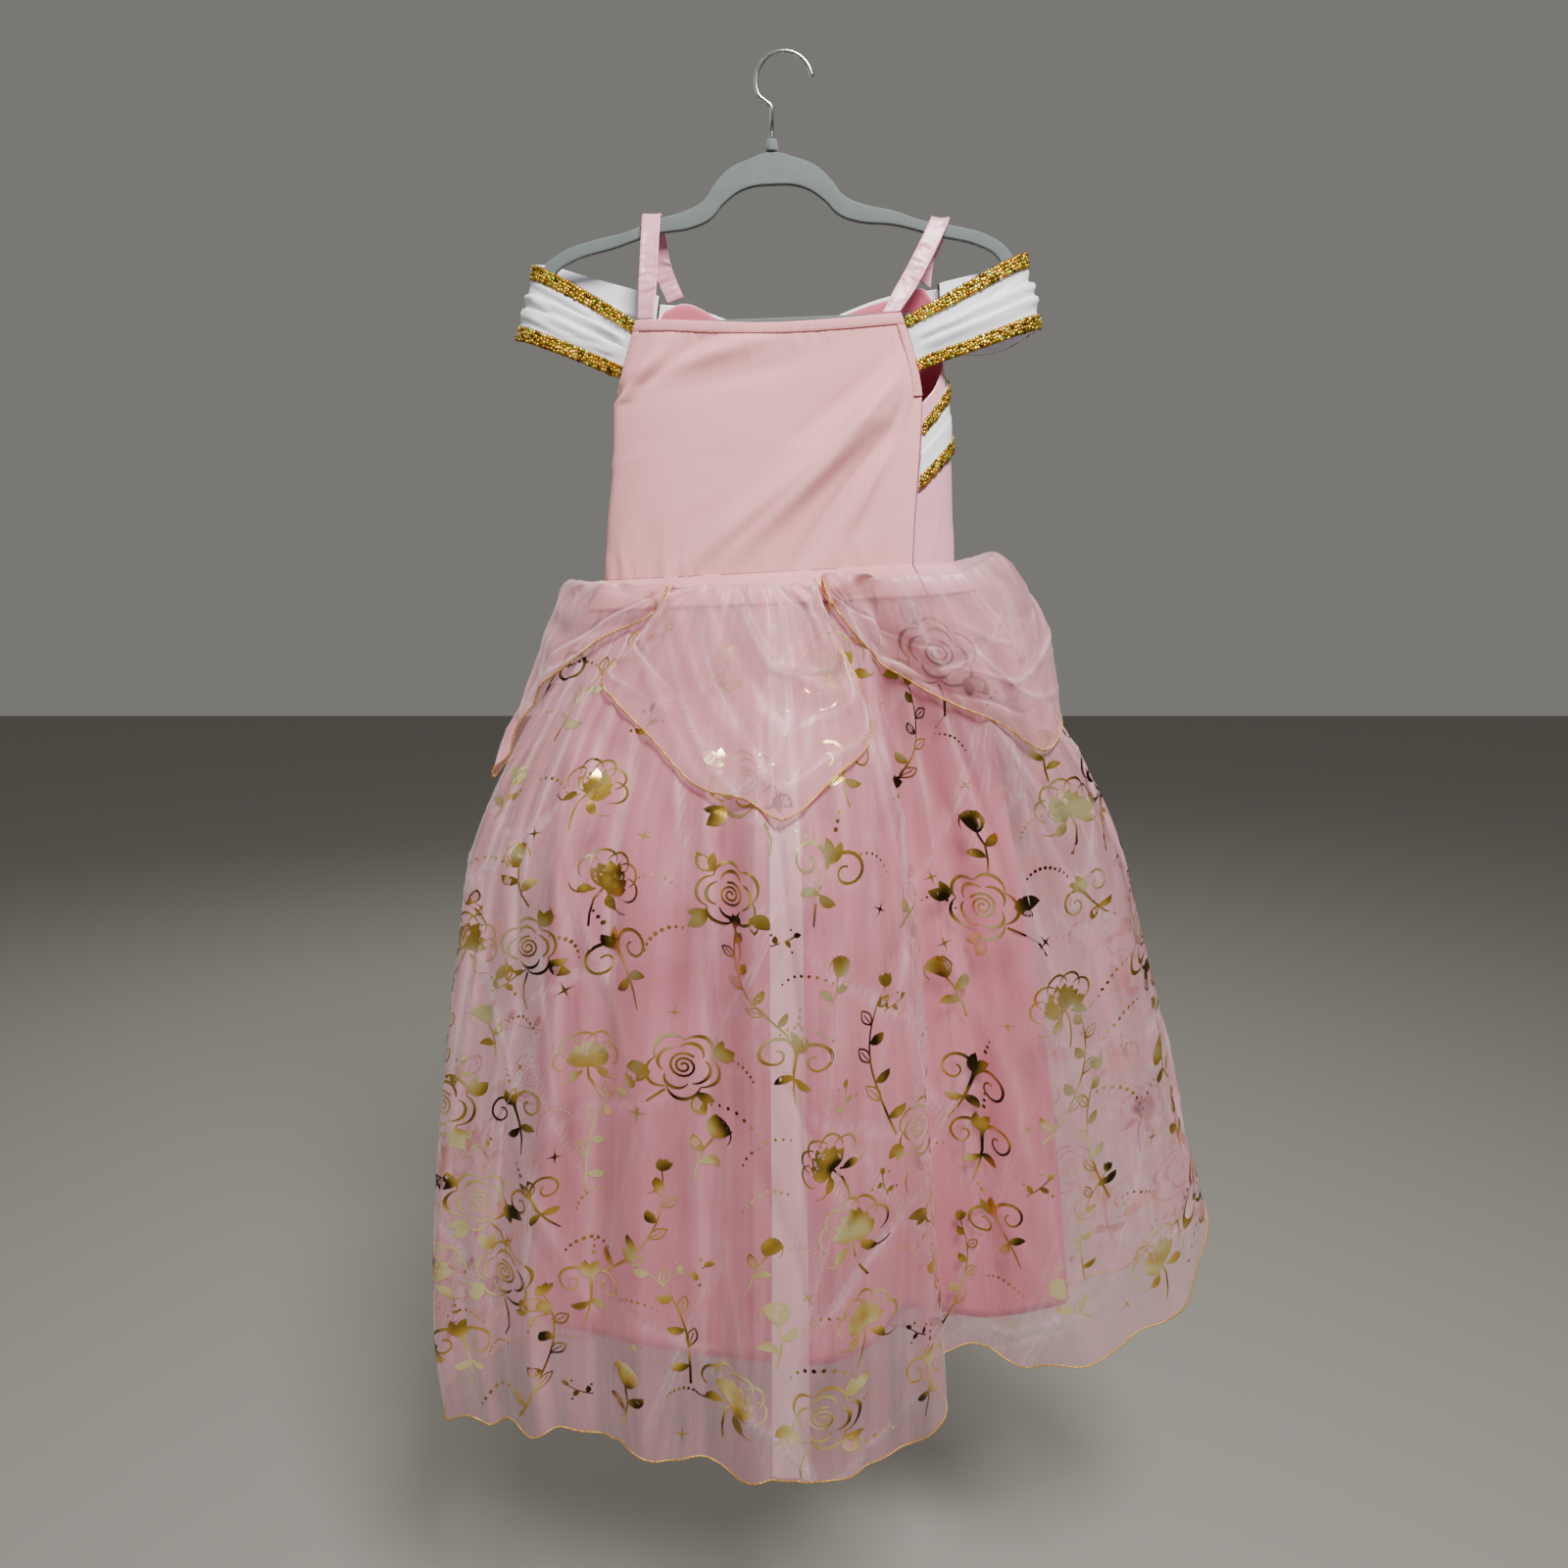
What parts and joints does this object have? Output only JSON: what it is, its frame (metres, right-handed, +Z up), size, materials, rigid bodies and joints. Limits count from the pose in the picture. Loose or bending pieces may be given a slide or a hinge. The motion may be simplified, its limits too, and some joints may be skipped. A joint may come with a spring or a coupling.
{
  "type": "princess costume dress on a hanger",
  "caption": "Child's princess costume dress with gathered sheer skirt, petals and off-shoulder sleeve bands, hung by its straps on a flocked clothes hanger.",
  "frame": {"origin": "inside top of the hanger's hook, where it hangs on a rail or a nail", "axes": "+Z up, +Y from the back of the dress to its front, +X to the right as its back is looked at"},
  "size_m": [0.8034, 0.2101, 1.2846],
  "materials": {
    "grey_flock": "short grey flock over a moulded core",
    "chrome": "bright plated wire",
    "pink_satin": "pink satin with a soft sheen",
    "pink_knit": "matte pink stretch knit",
    "pink_binding": "turned and stitched pink knit",
    "rose_lining": "dark rose lining cloth",
    "white_satin": "white satin with a soft sheen",
    "gold_braid": "gold sequins sewn on a braid",
    "pink_lining": "plain opaque pink lining cloth",
    "pink_organza": "sheer pink organza, foil printed on the skirt, with a gold overlocked edge"
  },
  "bodies": {
    "root": {"hanger_body": "grey_flock", "hanger_hook": "chrome", "hanger_collar": "grey_flock", "strap_left": "pink_satin", "strap_right": "pink_satin", "back_bodice": "pink_knit", "front_bodice": "pink_satin", "front_lining": "rose_lining", "back_top_binding": "pink_binding", "armhole_binding_left": "pink_binding", "armhole_binding_right": "pink_binding", "neckline_band": "white_satin", "neckline_band_braid_low": "gold_braid", "neckline_band_braid_high": "gold_braid", "side_band": "white_satin", "side_band_braid_low": "gold_braid", "side_band_braid_high": "gold_braid", "sleeve_left": "white_satin", "sleeve_left_braid_low": "gold_braid", "sleeve_left_braid_high": "gold_braid", "sleeve_right": "white_satin", "sleeve_right_braid_low": "gold_braid", "sleeve_right_braid_high": "gold_braid", "skirt_lining": "pink_lining", "overskirt": "pink_organza", "petal_back": "pink_organza", "petal_right": "pink_organza", "petal_left": "pink_organza", "petal_front": "pink_organza"}
  },
  "joints": []
}
